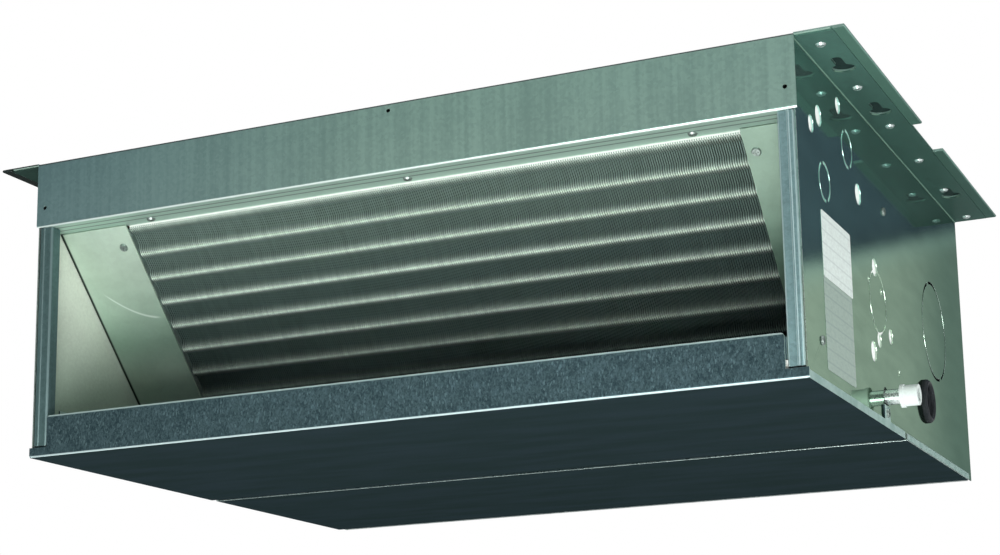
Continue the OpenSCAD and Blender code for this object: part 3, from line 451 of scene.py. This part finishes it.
def fin_material():
    """Aluminium fins: a painted highlight along the crest of each ridge and painted shade in between, darker
    towards the foot and deeper in the pack.
    """
    s = Shader("fin_aluminium", 0.2, 0.5)
    dy = s.sub(s.y, COIL_Y / 1000)
    dz = s.sub(s.z, COIL_Z / 1000)
    deep = s.weigh((dy, math.cos(TILT)), (dz, math.sin(TILT)))
    down = s.weigh((dy, math.sin(TILT)), (dz, -math.cos(TILT)))
    phase = s.math("DIVIDE", s.sub(down, (RIDGE_0 + SHINE - RIDGE) / 1000), RIDGE / 1000)
    phase = s.math("FRACT", phase)
    # Painted highlight: a bright line just below each crest, dimmer at the top one
    crest_highlight = s.math("MAXIMUM", s.ramp(phase, 0.58, 1.0, smooth=False), s.ramp(phase, 0.30, 0.0, smooth=False))
    crest_highlight = s.mul(s.math("POWER", crest_highlight, 3.9), s.ramp(down, -0.001, 0.009, 0.42, 1.0))
    # Painted shade between the crests, darker towards the foot
    low = s.mix(s.ramp(down, 0.0, 0.095), (0.142, 0.202, 0.176), (0.062, 0.096, 0.086))
    highlight_tone = s.mix(s.ramp(down, 0.05, 0.15, smooth=False), (0.84, 1.0, 0.86), (0.86, 1.0, 0.89))
    tone = s.mix(crest_highlight, low, highlight_tone)
    # Painted shade deeper in the pack
    tone = s.mix(s.ramp(deep, 0.006, 0.016), tone, (0.03, 0.037, 0.035))
    each = s.cells((470.0, 30.0, 30.0))
    s.colour(s.mix(each, s.tint(tone, (0.78, 0.8, 0.8)), tone))
    s.roughness(each, 0.0, 1.0, 0.44, 0.58)
    s.bump(s.noise(800.0, 2.0), 0.08, 0.0002)
    return s.mat


# Pieces that the solids don't have

def add_mesh(name, verts, faces, mat):
    me = bpy.data.meshes.new(name)
    me.from_pydata(verts, [], faces)
    me.validate()
    me.materials.append(mat)
    ob = bpy.data.objects.new(name, me)
    scene.collection.objects.link(ob)
    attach(ob, "case")
    return ob


def band(a, b, n):
    """Faces between two rings of n points that start at a and b."""
    return [(a + i, a + (i + 1) % n, b + (i + 1) % n, b + i) for i in range(n)]


def front_edge(s):
    """Depth of a fin's rippled edge behind the crest plane, at s down the slope."""
    k = round((s - RIDGE_0) / RIDGE)
    d = abs(s - RIDGE_0 - k * RIDGE)
    return RIPPLE if d >= RIPPLE_R else min(RIPPLE, RIPPLE_R - math.sqrt(RIPPLE_R ** 2 - d * d))


def fin_pack():
    """All fins in one mesh, each a thin plate with rippled edges in front and behind."""
    marks = {COIL_S0, COIL_L}
    for i in range(RIDGE_COUNT):
        near = (RIDGE_0 + i * RIDGE + k * RIDGE_STEP for k in range(-RIDGE_STEPS, RIDGE_STEPS + 1))
        marks.update(s for s in near if COIL_S0 < s < COIL_L)
    marks = sorted(marks)
    m = len(marks)
    step = (FIN_X1 - FIN_X0 - FIN_T) / (FIN_COUNT - 1)
    verts, faces = [], []
    for i in range(FIN_COUNT):
        a = len(verts)
        b, c, d = a + m, a + 2 * m, a + 3 * m
        for x in (FIN_X0 + i * step, FIN_X0 + i * step + FIN_T):
            verts += [from_coil(s, front_edge(s), x) for s in marks]
            verts += [from_coil(s, COIL_T - front_edge(s), x) for s in marks]
        for j in range(m - 1):
            faces.append((a + j, a + j + 1, b + j + 1, b + j))
            faces.append((c + j + 1, c + j, d + j, d + j + 1))
            faces.append((a + j + 1, a + j, c + j, c + j + 1))
            faces.append((b + j, b + j + 1, d + j + 1, d + j))
        faces.append((a, b, d, c))
        faces.append((b + m - 1, a + m - 1, c + m - 1, d + m - 1))
    ob = add_mesh("coil_fin_pack", verts, faces, fin_material())
    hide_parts("coil_fins")


def rounded(x0, x1, y0, y1, r, steps, inset=0.0):
    """Points round a rectangle with corners of radius r, each point drawn in by the inset."""
    corners = ((x1 - r, y1 - r, 0), (x0 + r, y1 - r, 90), (x0 + r, y0 + r, 180), (x1 - r, y0 + r, 270))
    turns = [(cx, cy, math.radians(a + 90 / steps * k)) for cx, cy, a in corners for k in range(steps + 1)]
    return [(cx + (r - inset) * math.cos(t), cy + (r - inset) * math.sin(t)) for cx, cy, t in turns]


LABEL_T, LABEL_R = 0.0003, 0.002


def label(name, depths, heights, mat):
    """Bare sticker on the right wall, between two depths behind the front edge and two heights."""
    ring = rounded(*(FRONT_Y + d for d in depths), *heights, LABEL_R, 4)
    n = len(ring)
    verts = [(x, y, z) for x in (WALL_X, WALL_X + LABEL_T) for y, z in ring]
    faces = [tuple(range(n, 2 * n)), tuple(range(n - 1, -1, -1))] + band(0, n, n)
    add_mesh(name, verts, faces, mat)


# Dark pad over a keyhole, put there as painted shade seen through it: half its width, its reach to the front
# and to the back of the round hole, and its edges
PAD_W, PAD_FRONT, PAD_BACK = 0.0125, 0.031, 0.014
PAD_R, PAD_T, PAD_CUT = 0.004, 0.0025, 0.0007


def shade_pad(name, x, y, mat):
    """Dark pad on the top of a hanger flange, over a keyhole whose round part is at x, y; its dark tone is
    painted shade seen through the keyhole.
    """
    sides = (x - PAD_W, x + PAD_W, y - PAD_FRONT, y + PAD_BACK, PAD_R, 5)
    verts = []
    for z, inset in ((TOP_Z, 0.0), (TOP_Z + PAD_T - PAD_CUT, 0.0), (TOP_Z + PAD_T, PAD_CUT)):
        verts += [(px, py, z) for px, py in rounded(*sides, inset)]
    n = len(verts) // 3
    faces = [tuple(range(n - 1, -1, -1)), tuple(range(2 * n, 3 * n))] + band(0, n, n) + band(n, 2 * n, n)
    add_mesh(name, verts, faces, mat)


def keyhole_shade_pads():
    """A dark pad of painted shade over each keyhole, at the places of the record's hanger mounts."""
    mat = plastic_material("isolating_pad", (0.008, 0.020, 0.018), 0.6)
    outer, middle = mounts["hanger_keyholes_outer"], mounts["hanger_keyholes_middle"]
    half_x, half_y = (outer["dims"][key] / 2000 for key in ("spacing_x_mm", "spacing_y_mm"))
    places = (outer["pos_m"][1] - half_y, middle["pos_m"][1], outer["pos_m"][1] + half_y)
    for side, x in (("right", half_x), ("left", -half_x)):
        for i, y in enumerate(places):
            shade_pad(f"{side}_hanger_shade_pad_{i + 1}", x, y, mat)


# Dressing of the solids

# Cut edges: the bare metal's own bright tone, partly a painted highlight too
EDGE = plain_metal("bright_cut_edge", (0.62, 0.74, 0.70), 0.12, 0.3, 0.004)
GALV = plain_metal("galvanised_plain", (0.30, 0.38, 0.35), 0.16, 0.4, 0.005)
ZINC = plain_metal("zinc_fastener", (0.72, 0.80, 0.77), 0.12, 0.28, 0.0015)
DULL = plain_metal("dull_screw", (0.30, 0.36, 0.33), 0.2, 0.42, 0.0015)
COPPER = plain_metal("copper_tube", (0.60, 0.28, 0.16), 0.2, 0.35, 0.006)
BRASS = plain_metal("turned_brass", (0.66, 0.48, 0.20), 0.14, 0.3, 0.004)
STEEL = plain_metal("ground_steel", (0.52, 0.54, 0.55), 0.1, 0.25, 0.003)
WHEEL = plain_metal("wheel_aluminium", (0.46, 0.50, 0.51), 0.12, 0.38, 0.006)
BAR = plain_metal("filter_bar_aluminium", (0.50, 0.54, 0.53), 0.1, 0.4, 0.006)
HEADER = header_material()
SIDE_R = side_material("galvanised_wall_right",
                       (0.600, 0.750, 0.600), (0.255, 0.370, 0.300), (0.52, 0.84, 0.76), 0.065)
SIDE_L = side_material("galvanised_wall_left",
                       (0.36, 0.455, 0.40), (0.34, 0.435, 0.38), (0.35, 0.445, 0.39), 0.36)
UPRIGHT, LENGTHWISE = (160.0, 160.0, 10.0), (40.0, 8.0, 40.0)
# Shaded copies: the left post and flange take darker tones and bends than the right ones, painted as in
# shade; both flanges' undersides are painted dark as in shade
POST_R = folded_material("galvanised_post_right", (0.170, 0.276, 0.282), 0.5, UPRIGHT, (0.40, 0.53, 0.53))
POST_L = folded_material("galvanised_post_left", (0.080, 0.137, 0.136), 0.5, UPRIGHT, (0.15, 0.22, 0.22))
FLANGE_L = folded_material("galvanised_flange_left", (0.022, 0.042, 0.035), 0.0, LENGTHWISE,
                           (0.06, 0.10, 0.08), gloss=0.0)
FLANGE_R = folded_material("galvanised_flange", (0.047, 0.100, 0.082), 0.3, LENGTHWISE,
                           (0.150, 0.260, 0.200), lead=1.4)
BOTTOM = bottom_material()
BLANK = blank_material()
LINING = foam_material("cream_lining", (0.61, 0.67, 0.575), (0.40, 0.49, 0.45))
FOAM = foam_material("white_foam", (0.70, 0.72, 0.68))
RUBBER = rubber_material()
WHITE = plastic_material("white_plastic", (0.60, 0.67, 0.64), 0.42)
MOTOR = paint_material()
WEAVE = weave_material()

# All other nodes are plain galvanised sheet
LOOK = {
    "top_panel": HEADER, "right_side_panel": SIDE_R, "left_side_panel": SIDE_L,
    "right_hanger_flange": FLANGE_R, "left_hanger_flange": FLANGE_L,
    "right_front_post": POST_R, "left_front_post": POST_L,
    "front_bottom_panel": BOTTOM, "rear_bottom_panel": BOTTOM, "drain_tray": BOTTOM,
    "flange_rivets": ZINC, "case_screws": DULL, "coil_screws": DULL, "hub_screws": ZINC,
    "air_vent_screw": ZINC, "cradle_straps": ZINC, "capacitor_clip": ZINC, "drain_stub": ZINC,
    "top_lining": LINING, "right_lining": LINING, "left_lining": LINING, "tray_insulation": FOAM,
    "drain_collar": WHITE, "capacitor": WHITE, "terminal_block": WHITE,
    "cable_grommet": RUBBER, "coil_pads": RUBBER, "coil_seal": FOAM, "motor_rings": RUBBER,
    "coil_tubes": COPPER, "return_bends": COPPER, "supply_header": COPPER, "return_header": COPPER,
    "supply_socket": BRASS, "return_socket": BRASS, "air_vent": BRASS,
    "blank_off_left": BLANK, "blank_off_right": BLANK,
    "left_impeller": WHEEL, "right_impeller": WHEEL, "motor_shaft": STEEL, "motor_bearings": STEEL,
    "motor_body": MOTOR, "filter_frame": BAR, "filter_media": WEAVE,
}
# Width of the bevelled cut edge, for the sheets that show one; its bright tone is the cut metal's own and
# partly a painted highlight
THIN_EDGE, WIDE_EDGE = 0.00035, 0.0006
EDGED = {
    "top_panel": THIN_EDGE, "right_side_panel": THIN_EDGE, "left_side_panel": THIN_EDGE,
    "front_bottom_panel": WIDE_EDGE, "rear_bottom_panel": WIDE_EDGE,
    "right_front_post": THIN_EDGE, "left_front_post": THIN_EDGE, "back_frame": THIN_EDGE,
    "filter_rail_left": THIN_EDGE, "filter_rail_right": THIN_EDGE, "filter_frame": THIN_EDGE,
}
WELD_GAP = 0.00001


def cut_edges(ob, width):
    ob.data.materials.append(EDGE)
    weld = ob.modifiers.new("weld", "WELD")
    weld.merge_threshold = WELD_GAP
    bevel = ob.modifiers.new("edge", "BEVEL")
    bevel.width = width
    bevel.segments = 2
    bevel.limit_method = "ANGLE"
    bevel.angle_limit = math.radians(50)
    bevel.material = 1


def smooth_bends(limit):
    """Geometry nodes that shade a welded mesh smoothly across edges flatter than the limit."""
    tree = bpy.data.node_groups.new("smooth_bends", "GeometryNodeTree")
    for way in ("INPUT", "OUTPUT"):
        tree.interface.new_socket("Geometry", in_out=way, socket_type="NodeSocketGeometry")
    strip = tree.nodes.new("GeometryNodeRemoveAttribute")
    strip.inputs["Name"].default_value = "custom_normal"
    weld = tree.nodes.new("GeometryNodeMergeByDistance")
    weld.inputs["Distance"].default_value = WELD_GAP
    faces = tree.nodes.new("GeometryNodeSetShadeSmooth")
    edges = tree.nodes.new("GeometryNodeSetShadeSmooth")
    edges.domain = "EDGE"
    flat = tree.nodes.new("FunctionNodeCompare")
    flat.operation = "LESS_THAN"
    flat.inputs[1].default_value = limit
    angle = tree.nodes.new("GeometryNodeInputMeshEdgeAngle")
    tree.links.new(angle.outputs["Unsigned Angle"], flat.inputs[0])
    tree.links.new(flat.outputs[0], edges.inputs["Shade Smooth"])
    chain = [tree.nodes.new("NodeGroupInput"), strip, weld, faces, edges, tree.nodes.new("NodeGroupOutput")]
    for a, b in zip(chain, chain[1:]):
        tree.links.new(a.outputs[0], b.inputs[0])
    return tree


for name, ob in nodes.items():
    ob.data.materials.clear()
    ob.data.materials.append(LOOK.get(name, GALV))
    if name in EDGED:
        cut_edges(ob, EDGED[name])

BENDS = smooth_bends(math.radians(40))
for name in ("left_fan_housing", "right_fan_housing"):
    nodes[name].modifiers.new("smooth", "NODES").node_group = BENDS

fin_pack()
keyhole_shade_pads()
label("bare_label_upper", (0.0593, 0.1435), (0.0909, 0.1445),
      label_material("label_white", (0.63, 0.705, 0.665), (0.42, 0.48, 0.46)))
label("bare_label_lower", (0.0574, 0.1397), (0.0172, 0.0905),
      label_material("label_grey", (0.285, 0.365, 0.318), (0.20, 0.26, 0.235)))


# Stage, light and camera

FLOOR_R, FLOOR_Z = 40.0, -2.2


def floor():
    s = Shader("pale_floor", 0.0, 0.8)
    s.colour(s.vary(s.noise(3.0), (0.80, 0.80, 0.79), (0.84, 0.84, 0.83)))
    s.out["Emission Color"].default_value = (1.0, 1.0, 1.0, 1.0)
    seen = s.node("ShaderNodeLightPath").outputs["Is Camera Ray"]
    s.put(s.out["Emission Strength"], s.mul(seen, 0.5))
    me = bpy.data.meshes.new("floor")
    corners = ((-1, -1), (1, -1), (1, 1), (-1, 1))
    me.from_pydata([(FLOOR_R * x, FLOOR_R * y, FLOOR_Z) for x, y in corners], [], [(0, 1, 2, 3)])
    me.materials.append(s.mat)
    ob = bpy.data.objects.new("floor", me)
    scene.collection.objects.link(ob)


# Where the wall behind the object meets the ceiling: its slant to the side, and the edge's two heights
CEILING_SLANT, CEILING_LOW, CEILING_HIGH = 0.157, 0.2905, 0.3005


def studio():
    """White to the eye; it lights with a dim ceiling behind the object, above a bright band of wall."""
    world = bpy.data.worlds.new("studio")
    world.use_nodes = True
    t = Tree(world.node_tree)
    x, y, z = t.split(t.node("ShaderNodeTexCoord").outputs["Generated"])
    height = t.weigh((x, CEILING_SLANT), (z, 1.0))
    behind = t.mix(t.ramp(height, CEILING_LOW, CEILING_HIGH), (0.80, 0.82, 0.80), (0.046, 0.069, 0.112))
    light = t.mix(t.ramp(y, -0.3, 0.1), (0.25, 0.26, 0.26), behind)
    seen = t.node("ShaderNodeLightPath").outputs["Is Camera Ray"]
    t.put(t.tree.nodes["Background"].inputs["Color"], t.mix(seen, light, (1.0, 1.0, 1.0)))
    scene.world = world


def area(name, place, target, size, power):
    light = bpy.data.lights.new(name, "AREA")
    light.size = size
    light.energy = power
    ob = bpy.data.objects.new(name, light)
    ob.location = place
    ob.rotation_mode = "QUATERNION"
    ob.rotation_quaternion = (Vector(target) - Vector(place)).to_track_quat("-Z", "Y")
    ob.visible_camera = False
    scene.collection.objects.link(ob)
    return ob


def lights():
    area("overhead", (0.0, 0.0, 5.0), (0.0, 0.0, 0.0), 7.0, 260.0)
    area("low_front", (0.5, -1.9, -1.15), (0.0, -0.25, 0.14), 1.2, 60.0)
    # The bright right wall would show the lamp itself
    right = area("right", (3.2, -0.8, -0.2), (0.35, 0.0, 0.13), 1.8, 60.0)
    right.visible_glossy = False
    area("rear", (-2.6, 3.6, 2.6), (0.0, 0.28, 0.13), 5.0, 130.0)
    # A narrow strip reaches the coil's foot over the lip
    strip = area("coil_strip", (0.35, -1.5, -0.33), (0.02, -0.165, 0.105), 0.5, 0.08).data
    strip.shape = "RECTANGLE"
    strip.size_y = 0.06
    strip.spread = math.radians(10)


# The photo's view: focal length in pixels of its width, place in metres, turns in degrees
PHOTO_W, FOCAL, SENSOR = 1000.0, 2022.0, 36.0
EYE, YAW, PITCH, ROLL, SHIFT = (0.746, -1.697, -0.301), 24.52, 11.88, -0.92, 0.10


def camera():
    data = bpy.data.cameras.new("camera")
    data.sensor_width = SENSOR
    data.lens = FOCAL * SENSOR / PHOTO_W
    data.shift_y = SHIFT
    data.clip_start, data.clip_end = 0.01, 60.0
    ob = bpy.data.objects.new("camera", data)
    yaw, pitch, roll = (math.radians(v) for v in (YAW, PITCH, ROLL))
    right = Vector((math.cos(yaw), math.sin(yaw), 0.0))
    ahead = Vector((-math.sin(yaw) * math.cos(pitch), math.cos(yaw) * math.cos(pitch), math.sin(pitch)))
    up = right.cross(ahead)
    side = right * math.cos(roll) + up * math.sin(roll)
    top = up * math.cos(roll) - right * math.sin(roll)
    ob.matrix_world = Matrix.Translation(EYE) @ Matrix((side, top, -ahead)).transposed().to_4x4()
    scene.collection.objects.link(ob)
    scene.camera = ob


floor()
studio()
lights()
camera()
